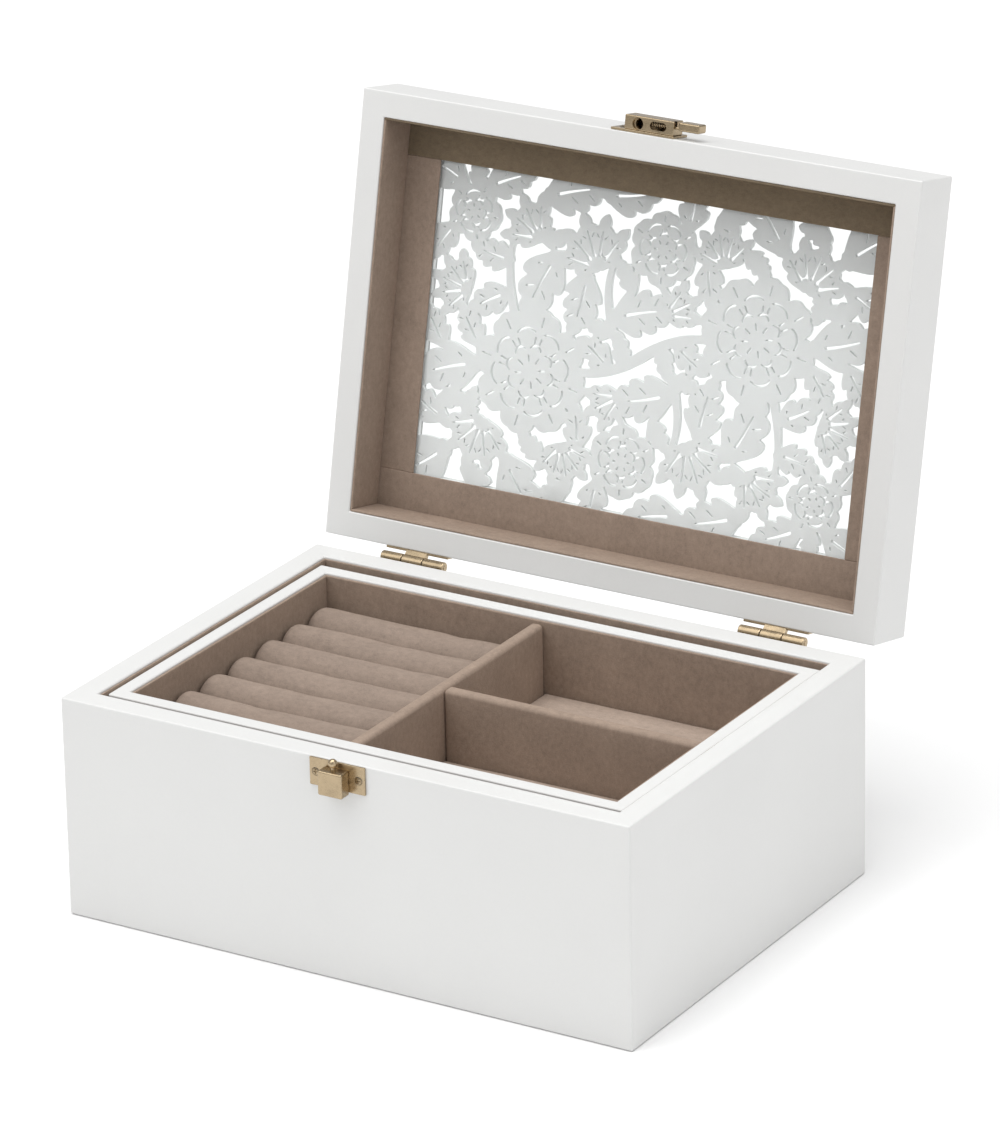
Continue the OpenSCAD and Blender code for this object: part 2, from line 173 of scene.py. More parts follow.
class Paint:
    """A material being built: its node tree, its shader, and short ways to add nodes."""

    def __init__(self, name, **sockets):
        self.material = bpy.data.materials.new(name)
        self.material.use_nodes = True
        self.tree = self.material.node_tree
        self.shader = self.tree.nodes["Principled BSDF"]
        self.place = self.tree.nodes.new("ShaderNodeTexCoord").outputs["Object"]
        for socket, value in sockets.items():
            self.shader.inputs[socket.replace("_", " ")].default_value = value

    def feed(self, target, source):
        if isinstance(source, bpy.types.NodeSocket):
            self.tree.links.new(source, target)
        else:
            target.default_value = source

    def set(self, socket, source):
        self.feed(self.shader.inputs[socket], source)

    def noise(self, size, detail=2.0, rough=0.5, stretch=(1, 1, 1), twist=0.0):
        """Soft noise whose blotches are about size millimetres across, drawn out by stretch."""
        mapping = self.tree.nodes.new("ShaderNodeMapping")
        mapping.inputs["Scale"].default_value = [1 / (size * MM * s) for s in stretch]
        self.feed(mapping.inputs["Vector"], self.place)
        texture = self.tree.nodes.new("ShaderNodeTexNoise")
        texture.inputs["Scale"].default_value = 1
        texture.inputs["Detail"].default_value = detail
        texture.inputs["Roughness"].default_value = rough
        texture.inputs["Distortion"].default_value = twist
        self.feed(texture.inputs["Vector"], mapping.outputs["Vector"])
        return texture.outputs["Fac"]

    def math(self, operation, a, b=0.0):
        made = self.tree.nodes.new("ShaderNodeMath")
        made.operation = operation
        self.feed(made.inputs[0], a)
        self.feed(made.inputs[1], b)
        return made.outputs["Value"]

    def blend(self, *parts):
        """Weighted sum of (weight, value) pairs."""
        total = self.math("MULTIPLY", parts[0][1], parts[0][0])
        for weight, value in parts[1:]:
            total = self.math("ADD", total, self.math("MULTIPLY", value, weight))
        return total

    def span(self, value, low, high, start=0.3, end=0.7):
        """Maps value from start...end to low...high, and holds it there outside."""
        made = self.tree.nodes.new("ShaderNodeMapRange")
        self.feed(made.inputs["Value"], value)
        made.inputs["From Min"].default_value = start
        made.inputs["From Max"].default_value = end
        made.inputs["To Min"].default_value = low
        made.inputs["To Max"].default_value = high
        return made.outputs["Result"]

    def ramp(self, value, *stops):
        """Colour by value: stops are (position, (red, green, blue))."""
        made = self.tree.nodes.new("ShaderNodeValToRGB")
        elements = made.color_ramp.elements
        while len(elements) < len(stops):
            elements.new(0.5)
        for element, (position, colour) in zip(elements, stops):
            element.position = position
            element.color = (*colour, 1)
        self.feed(made.inputs["Fac"], value)
        return made.outputs["Color"]

    def bump(self, height, depth, strength=1.0):
        """Raises the surface by up to depth millimetres where height is 1."""
        made = self.tree.nodes.new("ShaderNodeBump")
        made.inputs["Strength"].default_value = strength
        made.inputs["Distance"].default_value = depth * MM
        self.feed(made.inputs["Height"], height)
        self.set("Normal", made.outputs["Normal"])


def scaled(colour, factor):
    return tuple(channel * factor for channel in colour)


def lacquer(name, tint=(0.715, 0.715, 0.705)):
    """Satin lacquer: faint clouding, orange peel, and a rubbed sheen that varies over a few centimetres."""
    paint = Paint(name, Specular_IOR_Level=0.5, Coat_Weight=0.25, Coat_Roughness=0.18)
    clouds = paint.noise(70, 3, 0.55)
    specks = paint.noise(1.1, 3, 0.6)
    tone = paint.blend((0.7, clouds), (0.3, specks))
    paint.set("Base Color", paint.ramp(tone, (0.3, scaled(tint, 0.975)), (0.7, scaled(tint, 1.012))))
    rubbed = paint.noise(22, 4, 0.6, (1, 2.5, 1), 0.6)
    paint.set("Roughness", paint.span(rubbed, 0.30, 0.42))
    peel = paint.noise(1.6, 1, 0.4)
    paint.bump(paint.blend((0.8, peel), (0.2, specks)), 0.02, 0.5)
    return paint.material


def suede(name, tint, streak=(1, 1, 1)):
    """Microfibre suede: faint brushed patches, mottling and single fibres, with a soft sheen."""
    paint = Paint(name, Sheen_Weight=0.3, Sheen_Roughness=0.5, Sheen_Tint=(*scaled(tint, 1.9), 1),
                  Specular_IOR_Level=0.2)
    patches = paint.noise(13, 3, 0.5, streak, 0.5)
    mottle = paint.noise(1.9, 3, 0.65, streak)
    fibres = paint.noise(0.45, 2, 0.7)
    tone = paint.blend((0.22, patches), (0.43, mottle), (0.35, fibres))
    paint.set("Base Color", paint.ramp(
        tone, (0.34, scaled(tint, 0.78)), (0.5, tint), (0.6, scaled(tint, 1.12)), (0.7, scaled(tint, 1.3))))
    paint.set("Roughness", paint.span(mottle, 0.86, 1.0))
    paint.bump(paint.blend((0.4, mottle), (0.6, fibres)), 0.2, 0.8)
    return paint.material


def brass(name, tint=(0.43, 0.335, 0.215)):
    """Pale lacquered brass: brushing marks, dull patches and darker spots of tarnish."""
    paint = Paint(name, Metallic=1.0, Coat_Weight=0.15, Coat_Roughness=0.3)
    patches = paint.noise(6, 3, 0.5, twist=0.4)
    brushed = paint.noise(0.2, 3, 0.6, (16, 1, 1))
    spots = paint.noise(0.9, 3, 0.65)
    tone = paint.blend((0.6, patches), (0.2, brushed), (0.2, spots))
    paint.set("Base Color", paint.ramp(
        tone, (0.32, scaled(tint, 0.72)), (0.46, scaled(tint, 0.96)), (0.62, scaled(tint, 1.06))))
    paint.set("Roughness", paint.span(paint.blend((0.6, brushed), (0.4, patches)), 0.2, 0.36))
    paint.bump(paint.blend((0.7, brushed), (0.3, spots)), 0.006, 0.5)
    return paint.material


def clear_glass(name):
    """Float glass that lets the lamps through, so that what is behind it is lit."""
    paint = Paint(name, Transmission_Weight=1.0, IOR=1.5)
    paint.set("Base Color", (0.975, 0.992, 0.985, 1))
    smears = paint.noise(28, 4, 0.6, (1, 2, 1), 1.2)
    paint.set("Roughness", paint.span(smears, 0.0, 0.035, 0.5, 0.75))
    through = paint.tree.nodes.new("ShaderNodeBsdfTransparent")
    through.inputs["Color"].default_value = (0.96, 0.98, 0.97, 1)
    lamp_rays = paint.tree.nodes.new("ShaderNodeLightPath").outputs["Is Shadow Ray"]
    either = paint.tree.nodes.new("ShaderNodeMixShader")
    paint.tree.links.new(lamp_rays, either.inputs[0])
    paint.tree.links.new(paint.shader.outputs["BSDF"], either.inputs[1])
    paint.tree.links.new(through.outputs["BSDF"], either.inputs[2])
    output = paint.tree.nodes["Material Output"]
    paint.tree.links.new(either.outputs["Shader"], output.inputs["Surface"])
    return paint.material


LACQUER = lacquer("white_lacquer")
# Painted light: lighter than the box, to make up for the shade of the lid's frame and the light lost in the
# glass in front of it
FRET_LACQUER_PAINTED_LIGHT = lacquer("fretwork_lacquer_painted_light", (0.85, 0.855, 0.855))
SUEDE = suede("suede_lining", (0.312, 0.238, 0.188), (1, 1, 1.3))
# Painted shade: a darker copy of the lining suede for the lid's front lining and ledge, which stand at the
# top under the front rail when the lid is open. Its streaks also run another way
SUEDE_PAINTED_SHADE = suede("suede_painted_shade", (0.190, 0.146, 0.098), (1.4, 1, 1))
SUEDE_PAD = suede("suede_pads", (0.40, 0.318, 0.262), (1.5, 1, 1))
SUEDE_ROLL = suede("suede_rolls", (0.285, 0.223, 0.182), (1.5, 1, 1))
BRASS = brass("pale_brass")
SCREW_BRASS = brass("screw_brass", (0.37, 0.285, 0.18))
GLASS = clear_glass("clear_glass")


# ---------- pieces ----------

def new_piece(name, points, faces, material, nodes, smooth=True):
    """A mesh drawn at home in millimetres, put on the body of the CAD nodes that it replaces."""
    body = frame["nodes"][nodes[0]]["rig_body"]
    mesh = bpy.data.meshes.new(name)
    mesh.from_pydata([tuple(np.array(point) * MM) for point in points], [], faces)
    mesh.transform(PLACES[body])
    mesh.materials.append(material)
    if smooth:
        mesh.shade_smooth()
    else:
        mesh.shade_flat()
    mesh.validate()
    piece = bpy.data.objects.new(name, mesh)
    bpy.context.scene.collection.objects.link(piece)
    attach(piece, body)
    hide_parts(*nodes)
    return piece


def round_edges(piece, radius, segments=3, angle=30):
    """Rounds a piece's sharp edges with a modifier, and shades the faces between them flat."""
    bevel = piece.modifiers.new("edges", "BEVEL")
    bevel.width = radius * MM
    bevel.segments = segments
    bevel.limit_method = "ANGLE"
    bevel.angle_limit = math.radians(angle)
    bevel.use_clamp_overlap = True
    bevel.harden_normals = True


def frame_ring(name, nodes, size, profile, edge):
    """A mitred rectangular frame: profile is a closed loop of (inset from the outside, height)."""
    count = len(profile)
    points = []
    for sx, sy in ((-1, -1), (1, -1), (1, 1), (-1, 1)):
        points += [(sx * (size[0] / 2 - inset), sy * (size[1] / 2 - inset), z) for inset, z in profile]
    faces = []
    for corner in range(4):
        here, there = corner * count, (corner + 1) % 4 * count
        for i in range(count):
            j = (i + 1) % count
            faces.append((here + j, here + i, there + i, there + j))
    piece = new_piece(name, points, faces, LACQUER, nodes)
    round_edges(piece, edge)
    return piece


def stops(low, high, radius, step):
    """Where to cut a rounded box along one axis: close in the rounding, about step apart between."""
    turns = [radius * math.tan(math.radians(a)) for a in (45, 30, 15)]
    inner_low, inner_high = low + radius, high - radius
    cuts = max(1, round((inner_high - inner_low) / step))
    middle = [inner_low + (inner_high - inner_low) * i / cuts for i in range(cuts + 1)]
    return [inner_low - t for t in turns] + middle + [inner_high + t for t in reversed(turns)]


def rounded_box(low, high, radius, step):
    """Points and faces of a box with round edges and corners, its sides cut into cells of about step."""
    low, high = np.array(low, float), np.array(high, float)
    radius = min(radius, min(high - low) / 2 - 0.01)
    axes = [stops(low[i], high[i], radius, step) for i in range(3)]
    last = [len(axis) - 1 for axis in axes]
    index, points, faces = {}, [], []

    def point(key):
        if key not in index:
            corner = np.array([axes[i][key[i]] for i in range(3)])
            core = np.clip(corner, low + radius, high - radius)
            out = corner - core
            index[key] = len(points)
            points.append(core + radius * out / max(np.linalg.norm(out), 1e-9))
        return index[key]

    for axis in range(3):
        u, v = (axis + 1) % 3, (axis + 2) % 3
        for end in (0, last[axis]):
            for i in range(last[u]):
                for j in range(last[v]):
                    quad = []
                    for a, b in ((i, j), (i + 1, j), (i + 1, j + 1), (i, j + 1)):
                        key = [0, 0, 0]
                        key[axis], key[u], key[v] = end, a, b
                        quad.append(point(tuple(key)))
                    faces.append(tuple(quad) if end else tuple(reversed(quad)))
    return np.array(points), faces


def ripple(points, amount, size, seed):
    """Moves points by up to amount along smooth noise with bumps of about size."""
    moved = []
    for point in points:
        wave = noise.noise_vector(Vector(point) / size + Vector((seed * 7.3, seed * 3.1, seed * 1.7)))
        moved.append(np.array(point) + amount * np.array(wave))
    return np.array(moved)


def suede_board(node, radius, material=SUEDE, wave=0.12):
    """A covered board in a CAD node's place, with soft edges and faces that are not quite flat."""
    low, high = home_box(node)
    points, faces = rounded_box(low, high, radius, 6)
    seed = sum(map(ord, node)) % 97
    return new_piece("covered_" + node, ripple(points, wave, 26, seed), faces, material, [node])


# ---------- lacquered shells ----------

# Play between the fretted panel and the rebate that holds it
PANEL_FIT = 0.2


def panels(prefix):
    return [f"{prefix}_{side}" for side in SIDES]


def wall_thickness(prefix):
    """Thickness of the walls of a box made of four panels: the width of its left panel."""
    low, high = home_box(f"{prefix}_left")
    return high[0] - low[0]


def make_shells():
    for prefix, edge in (("base", 0.8), ("tray", 0.7)):
        low, high = home_box(*panels(prefix))
        t = wall_thickness(prefix)
        profile = [(0, low[2]), (0, high[2]), (t, high[2]), (t, low[2])]
        frame_ring(prefix + "_shell", panels(prefix), (high - low)[:2], profile, edge)
        low, high = home_box(prefix + "_floor")
        points, faces = rounded_box(low, high, 0.4, 60)
        new_piece(prefix + "_bottom_board", points, faces, LACQUER, [prefix + "_floor"])
    low, high = home_box(*panels("lid"))
    top = home_box("lid_top_board")[1][2]
    rail = wall_thickness("lid")
    ledge = home_box("lid_ledge_front")
    window = rail + ledge[1][1] - ledge[0][1]
    pane = home_box("lid_glass")
    fret = home_box("lid_fretwork")
    rebate = (high - low)[0] / 2 - fret[1][0] - PANEL_FIT
    profile = [
        (0, low[2]), (0, top), (window, top), (window, fret[1][2]),
        (rebate, fret[1][2]), (rebate, pane[0][2]), (rail, pane[0][2]), (rail, low[2]),
    ]
    frame_ring("lid_shell", panels("lid") + ["lid_top_board"], (high - low)[:2], profile, 0.8)


# ---------- suede ----------

def make_linings():
    for side in SIDES:
        suede_board(f"base_lining_{side}", 0.35)
        # The lid's front pieces get the suede with painted shade
        side_suede = SUEDE_PAINTED_SHADE if side == "front" else SUEDE
        suede_board(f"lid_lining_{side}", 0.45, side_suede)
        suede_board(f"lid_ledge_{side}", 0.45, side_suede)
        suede_board(f"tray_lining_{side}", 0.55)
    suede_board("tray_divider_long", 1.9)
    suede_board("tray_divider_cross", 1.9)


def make_supports():
    """The two strips that carry the tray. They are one CAD node, whose box doesn't give their width."""
    low, high = home_box("tray_supports")
    width = 6
    points, faces = [], []
    for left, right in ((low[0], low[0] + width), (high[0] - width, high[0])):
        more, quads = rounded_box((left, low[1], low[2]), (right, high[1], high[2]), 1.2, 8)
        faces += [tuple(i + len(points) for i in quad) for quad in quads]
        points += list(ripple(more, 0.12, 26, left))
    new_piece("covered_tray_supports", points, faces, SUEDE, ["tray_supports"])


# The cloth runs on a model this many times the real size, where its default weights suit it
CLOTH_SCALE = 20
CLOTH_FRAMES = 16
CLOTH_STIFFNESS = 40
# The cover is glued down up to this height above the pad's underside
GLUED_HEIGHT = 0.6
# How far inside its place a ring roll starts, at its sides, ends and top, before it swells
SLACK = 0.5


def stuffed(node, points, faces, material, swell, pressure):
    """A padded piece: its cover blown up as cloth over a glued underside, by at most swell."""
    start = np.array(points)
    pad = new_piece("soft_" + node, points, faces, material, [node])
    puff_up(pad, start, swell, pressure)
    smooth = pad.modifiers.new("smooth", "SUBSURF")
    smooth.levels = smooth.render_levels = 1


def puff_up(pad, start, swell, pressure):
    """Runs the cloth with air pressure inside the pad, and keeps the result as the pad's shape."""
    low = start[:, 2].min()
    pinned = pad.vertex_groups.new(name="glued")
    pinned.add(np.flatnonzero(start[:, 2] < low + GLUED_HEIGHT).tolist(), 1, "REPLACE")
    real = mesh_points(pad)
    place_points(pad, real * CLOTH_SCALE)
    cloth = pad.modifiers.new("cover", "CLOTH")
    cloth.settings.vertex_group_mass = pinned.name
    cloth.settings.use_pressure = True
    cloth.settings.uniform_pressure_force = pressure
    cloth.settings.tension_stiffness = CLOTH_STIFFNESS
    cloth.settings.compression_stiffness = CLOTH_STIFFNESS
    cloth.settings.effector_weights.gravity = 0
    cloth.collision_settings.use_collision = False
    cloth.collision_settings.use_self_collision = False
    cloth.point_cache.frame_end = CLOTH_FRAMES
    scene = bpy.context.scene
    for number in range(1, CLOTH_FRAMES + 1):
        scene.frame_set(number)
    blown = pad.evaluated_get(bpy.context.evaluated_depsgraph_get()).data
    flat = np.empty(len(blown.vertices) * 3)
    blown.vertices.foreach_get("co", flat)
    pad.modifiers.remove(cloth)
    pad.vertex_groups.remove(pinned)
    scene.frame_set(1)
    move = flat.reshape(-1, 3) / CLOTH_SCALE - real
    far = np.linalg.norm(move, axis=1, keepdims=True)
    cap = swell * MM
    place_points(pad, real + move * cap / np.maximum(far, cap))


def mesh_points(piece):
    flat = np.empty(len(piece.data.vertices) * 3)
    piece.data.vertices.foreach_get("co", flat)
    return flat.reshape(-1, 3)


def place_points(piece, points):
    piece.data.vertices.foreach_set("co", points.ravel())
    piece.data.update()


def crowned_pad(node, crown, seed):
    """A flat pad, highest in the middle, with soft edges."""
    low, high = home_box(node)
    edge, cell, flatness = 1.3, 4, 6
    points, faces = rounded_box(low, high - np.array((0, 0, crown)), edge, cell)
    middle, half = (low + high) / 2, (high - low) / 2
    for point in points:
        u, v = np.abs((point - middle) / half)[:2]
        share = (point[2] - low[2]) / (high[2] - crown - low[2])
        point[2] += crown * share * (1 - u ** flatness) * (1 - v ** flatness)
    stuffed(node, ripple(points, 0.16, 15, seed), faces, SUEDE_PAD, swell=0.5, pressure=0.07)


def ring_roll(node, seed):
    """A stuffed roll across the tray: straight sides, a round top, and ends that curve down."""
    low, high = home_box(node)
    low, high = low + (SLACK, SLACK, 0), high - SLACK
    radius = (high[1] - low[1]) / 2
    centre_y, centre_z = (low[1] + high[1]) / 2, high[2] - radius
    arc = [(-math.cos(a), math.sin(a)) for a in np.linspace(0, math.pi, 15)]
    outline = [(-1, None), *arc, (1, None)]
    bend = 4.2
    narrowing = 0.55
    along = [bend * (1 - math.cos(a)) for a in np.linspace(0, math.pi / 2, 6)]
    middle = list(np.linspace(low[0] + bend, high[0] - bend, 26))[1:-1]
    stations = [low[0] + d for d in along] + middle + [high[0] - d for d in reversed(along)]
    points = []
    for x in stations:
        depth = max(0.0, bend - min(x - low[0], high[0] - x))
        sink = bend - math.sqrt(max(0.0, bend ** 2 - depth ** 2))
        for u, v in outline:
            z = low[2] if v is None else centre_z + v * (radius - sink)
            points.append((x, centre_y + u * (radius - narrowing * sink), z))
    count = len(outline)
    faces = [tuple(range(count)), tuple(reversed(range(len(points) - count, len(points))))]
    for row in range(len(stations) - 1):
        for i in range(count):
            j = (i + 1) % count
            a, b = row * count, (row + 1) * count
            faces.append((a + j, a + i, b + i, b + j))
    stuffed(node, ripple(points, 0.35, 13, seed), faces, SUEDE_ROLL, swell=0.75, pressure=0.2)


def make_padding():
    crowned_pad("base_floor_pad", 0.5, 3)
    crowned_pad("tray_pad_back", 0.9, 11)
    crowned_pad("tray_pad_front", 0.9, 19)
    for number in range(1, 8):
        ring_roll(f"ring_roll_{number}", 5 * number)


# ---------- fretwork ----------

# Cell of the grid that the panel is drawn on
FRET_CELL = 0.35
# Shorter leaves are left plain
SLIT_LEAF = 18


class Patch:
    """Part of a grid over the panel: how far each point is inside the wood and inside the cuts, in mm."""

    def __init__(self, px, py, wood, air):
        self.px, self.py, self.wood, self.air = px, py, wood, air

    def near(self, x, y, reach):
        """The part of this grid within reach of a place. What is drawn on it shows on the whole."""
        rows = slice(*np.searchsorted(self.py[:, 0], (y - reach, y + reach)))
        cols = slice(*np.searchsorted(self.px[0], (x - reach, x + reach)))
        return Patch(*(part[rows, cols] for part in (self.px, self.py, self.wood, self.air)))

    def seen_from(self, x, y, angle):
        """Grid points seen from a place, with u along the angle."""
        c, s = math.cos(angle), math.sin(angle)
        dx, dy = self.px - x, self.py - y
        return dx * c + dy * s, dy * c - dx * s

    def add(self, inside):
        np.maximum(self.wood, inside, out=self.wood)

    def cut(self, inside):
        np.maximum(self.air, inside, out=self.air)

    def solid(self):
        return np.minimum(self.wood, -self.air)


def panel_grid(width, depth):
    margin = 2 * FRET_CELL
    x = np.arange(-width / 2 - margin, width / 2 + margin + FRET_CELL, FRET_CELL)
    y = np.arange(-depth / 2 - margin, depth / 2 + margin + FRET_CELL, FRET_CELL)
    px, py = np.meshgrid(x, y)
    return Patch(px, py, np.full(px.shape, -9.0), np.full(px.shape, -9.0))


def stem(grid, points, width, tip=0.6):
    """A band along points, narrowing to tip times its width at the end."""
    spans = len(points) - 1
    for i in range(spans):
        (ax, ay), (bx, by) = points[i], points[i + 1]
        dx, dy = bx - ax, by - ay
        part = grid.near(ax, ay, math.hypot(dx, dy) + width + 1)
        t = np.clip(((part.px - ax) * dx + (part.py - ay) * dy) / (dx * dx + dy * dy), 0, 1)
        far = np.hypot(part.px - ax - t * dx, part.py - ay - t * dy)
        part.add(width / 2 * (1 - (1 - tip) * (i + t) / spans) - far)


def leaf(grid, x, y, angle, length, width, lobes=4, bend=0.18):
    """A lobed leaf. A long one has a slit along its midrib and short slits towards its lobes."""
    part = grid.near(x, y, length + 2)
    u, v = part.seen_from(x, y, angle)
    s = u / length
    v = v - bend * length * (s * s - s)
    across = np.abs(v) / (width / 2)
    outline = np.sin(math.pi * np.clip(s, 0, 1) ** 0.8) ** 0.7
    phase = (s - 0.24 * across) * lobes
    lobe = 1 - 0.34 * (1 - np.abs(np.sin(math.pi * phase))) ** 1.4
    part.add(np.minimum(width / 2 * outline * lobe - np.abs(v), np.minimum(u + 0.6, length - u)))
    if length < SLIT_LEAF:
        return
    rib = 0.75 * np.clip(1.1 - s, 0, 1) - np.abs(v)
    part.cut(np.minimum(rib, np.minimum(s - 0.22, 0.7 - s) * length))
    near = np.abs(phase - np.round(phase - 0.5) - 0.5) * length / lobes
    vein = np.minimum(0.36 - near, np.minimum(across - 0.2, 0.52 - across) * width / 2)
    part.cut(np.minimum(vein, np.minimum(s - 0.24, 0.8 - s) * length))


def blossom(grid, x, y, radius, petals, turn):
    """A full flower head: scalloped petals, arcs cut between their rings, and fans of short slits."""
    part = grid.near(x, y, radius + 1)
    u, v = part.seen_from(x, y, turn)
    r, angle = np.hypot(u, v), np.arctan2(v, u)
    wave = np.abs(np.cos(petals * angle / 2))
    frill = np.abs(np.cos(petals * angle * 1.5))
    part.add(radius * (0.78 + 0.19 * wave ** 0.5 + 0.03 * frill) - r)
    for share, ring_turn, gap in ((0.60, math.pi / 2, 0.45), (0.34, 0, 0.4)):
        swing = np.abs(np.cos(petals * angle / 2 + ring_turn))
        line = radius * (share - 0.05 + 0.13 * swing ** 0.7)
        part.cut(np.minimum(0.45 - np.abs(r - line), (swing - gap) * radius * 0.3))
    fans = ((0.50, 0.06, 4 * petals, 0), (0.21, 0.06, petals, 0), (0.80, 0.09, petals, 0.5))
    for share, reach, count, offset in fans:
        turned = np.mod(angle * count / (2 * math.pi) + offset, 1)
        spoke = np.abs(turned - 0.5) * 2 * math.pi * r / count
        fan = np.abs(np.cos(petals * angle / 2)) - 0.62 if count > petals else 1
        along = reach * radius - np.abs(r - share * radius)
        part.cut(np.minimum(np.minimum(0.36 - spoke, along), fan * radius))


def curl(x, y, angle, length, swing, steps=14):
    """Points along a stem that starts at a place and angle and turns by swing over its length."""
    points = [(x, y)]
    for i in range(steps):
        angle += swing / steps * (0.4 + 1.2 * i / steps)
        x += length / steps * math.cos(angle)
        y += length / steps * math.sin(angle)
        points.append((x, y))
    return points


def both_ways(x, y, angle):
    """A place and its twin half a turn round the middle of the panel."""
    return ((x, y, angle), (-x, -y, angle + math.pi))


# Flower heads: place, turn, radius and number of petals
BLOSSOMS = ((-52, 15, 0.2, 27, 8), (-5, 45, 0.5, 16, 6), (-85, -47, 0.1, 13, 5))
# Stems: start, direction, length, turn and width
STEMS = (
    (0, 0, 2.5, 40, 0.9, 5), (-14, -6, -2.0, 34, 0.9, 4),
    (-22, 20, 0.2, 30, 1.6, 4), (-62, -8, -1.9, 30, 0.5, 4),
)
# Palmettes: root, direction, number of leaves and their length
PALMETTES = (
    (-72, 38, 1.9, 5, 24), (-24, -32, -2.0, 5, 25), (-84, -14, 3.4, 5, 20), (-34, 42, 1.3, 5, 20),
    (-52, -40, -2.4, 4, 22), (-8, 18, 2.6, 3, 20),
)


def draw_garden(grid, half_w, half_d):
    """Flower heads on swinging stems, palmettes, and leaves grown into the space that is left."""
    for px, py, aim, length, swing, width in STEMS:
        for x, y, angle in both_ways(px, py, aim):
            stem(grid, curl(x, y, angle, length, swing), width)
    for px, py, aim, count, length in PALMETTES:
        for x, y, angle in both_ways(px, py, aim):
            for i in range(count):
                spread = (i - (count - 1) / 2) * 0.5
                size = length * (1 - 0.1 * abs(spread))
                leaf(grid, x, y, angle + spread, size, size * 0.48, 3, 0.12 * np.sign(spread))
    for px, py, aim, radius, petals in BLOSSOMS:
        for x, y, turn in both_ways(px, py, aim):
            blossom(grid, x, y, radius, petals, turn)
    fill_with_leaves(grid, half_w, half_d)


def fill_with_leaves(grid, half_w, half_d, most=60, least=4.2, shortest=15, longest=34):
    """Grows a leaf from the nearest wood into the widest gap, with its twin, until no wide gap is left."""
    step = 8
    gx, gy = grid.px[::step, ::step], grid.py[::step, ::step]
    for number in range(most):
        wood = grid.solid()[::step, ::step] > 0
        free = ~wood & (np.abs(gx) < half_w - 1) & (np.abs(gy) < half_d - 1)
        inner = wood.copy()
        inner[1:-1, 1:-1] &= wood[2:, 1:-1] & wood[:-2, 1:-1] & wood[1:-1, 2:] & wood[1:-1, :-2]
        edge = wood & ~inner
        wx, wy, fx, fy = gx[edge], gy[edge], gx[free], gy[free]
        far = np.hypot(fx[:, None] - wx[None, :], fy[:, None] - wy[None, :])
        gap = far.min(1)
        widest = int(gap.argmax())
        if gap[widest] < least:
            return
        root = int(far[widest].argmin())
        length = min(max(2.6 * gap[widest], shortest), longest)
        swing = 1 if number % 2 else -1
        angle = math.atan2(fy[widest] - wy[root], fx[widest] - wx[root]) + 0.2 * swing
        foot = (wx[root] - 1.5 * math.cos(angle), wy[root] - 1.5 * math.sin(angle))
        for x, y, aim in both_ways(*foot, angle):
            leaf(grid, x, y, aim, length, 0.62 * length, 3 + number % 2, 0.15 * swing)


def joined_to_border(solid):
    """The wood that holds on to the panel's border: loose islands would fall out."""
    kept = np.zeros_like(solid)
    edge = 8
    kept[:edge] = solid[:edge]
    while True:
        grown = kept.copy()
        grown[1:] |= kept[:-1]
        grown[:-1] |= kept[1:]
        grown[:, 1:] |= kept[:, :-1]
        grown[:, :-1] |= kept[:, 1:]
        grown &= solid
        if grown.sum() == kept.sum():
            return kept
        kept = grown


def outlines(field, inside):
    """Closed loops along the edge of the wood, with the wood on the left."""
    following, place = {}, {}

    def crossing(r0, c0, r1, c1):
        a, b = inside[r0, c0], inside[r1, c1]
        t = a / (a - b)
        key = (min(r0, r1), min(c0, c1), r0 == r1)
        if key not in place:
            place[key] = (
                field.px[0, c0] + t * (field.px[0, c1] - field.px[0, c0]),
                field.py[r0, 0] + t * (field.py[r1, 0] - field.py[r0, 0]),
            )
        return key

    sign = inside > 0
    mixed = sign[:-1, :-1].astype(int) + sign[1:, :-1] + sign[:-1, 1:] + sign[1:, 1:]
    for r, c in zip(*np.nonzero((mixed > 0) & (mixed < 4))):
        ring = [(r, c), (r, c + 1), (r + 1, c + 1), (r + 1, c)]
        enters, leaves = [], []
        for i in range(4):
            a, b = ring[i], ring[(i + 1) % 4]
            if sign[a] != sign[b]:
                (leaves if sign[a] else enters).append((i, crossing(*a, *b)))
        for i, key in leaves:
            nearest = min(enters, key=lambda e: (e[0] - i) % 4)
            following[key] = nearest[1]
    loops = []
    while following:
        start = next(iter(following))
        loop, key = [], start
        while key in following:
            loop.append(place[key])
            key = following.pop(key)
        loops.append(np.array(loop))
    return loops


def tidied(loop, spacing=0.3):
    """The loop smoothed a little, without points that are closer than spacing or on a straight run."""
    for _ in range(2):
        loop = 0.5 * loop + 0.25 * (np.roll(loop, 1, 0) + np.roll(loop, -1, 0))
    kept = [loop[0]]
    for i in range(1, len(loop) - 1):
        step = loop[i] - kept[-1]
        ahead = loop[i + 1] - loop[i]
        turn = abs(step[0] * ahead[1] - step[1] * ahead[0]) / max(np.linalg.norm(ahead), 1e-6)
        if np.linalg.norm(step) > spacing and (turn > 0.03 or np.linalg.norm(step) > 3):
            kept.append(loop[i])
    return np.array(kept)


def inset(loop, amount):
    """The loop moved into the wood, which lies on its left."""
    along = np.roll(loop, -1, 0) - np.roll(loop, 1, 0)
    along /= np.maximum(np.linalg.norm(along, axis=1, keepdims=True), 1e-9)
    return loop + amount * np.stack([-along[:, 1], along[:, 0]], 1)


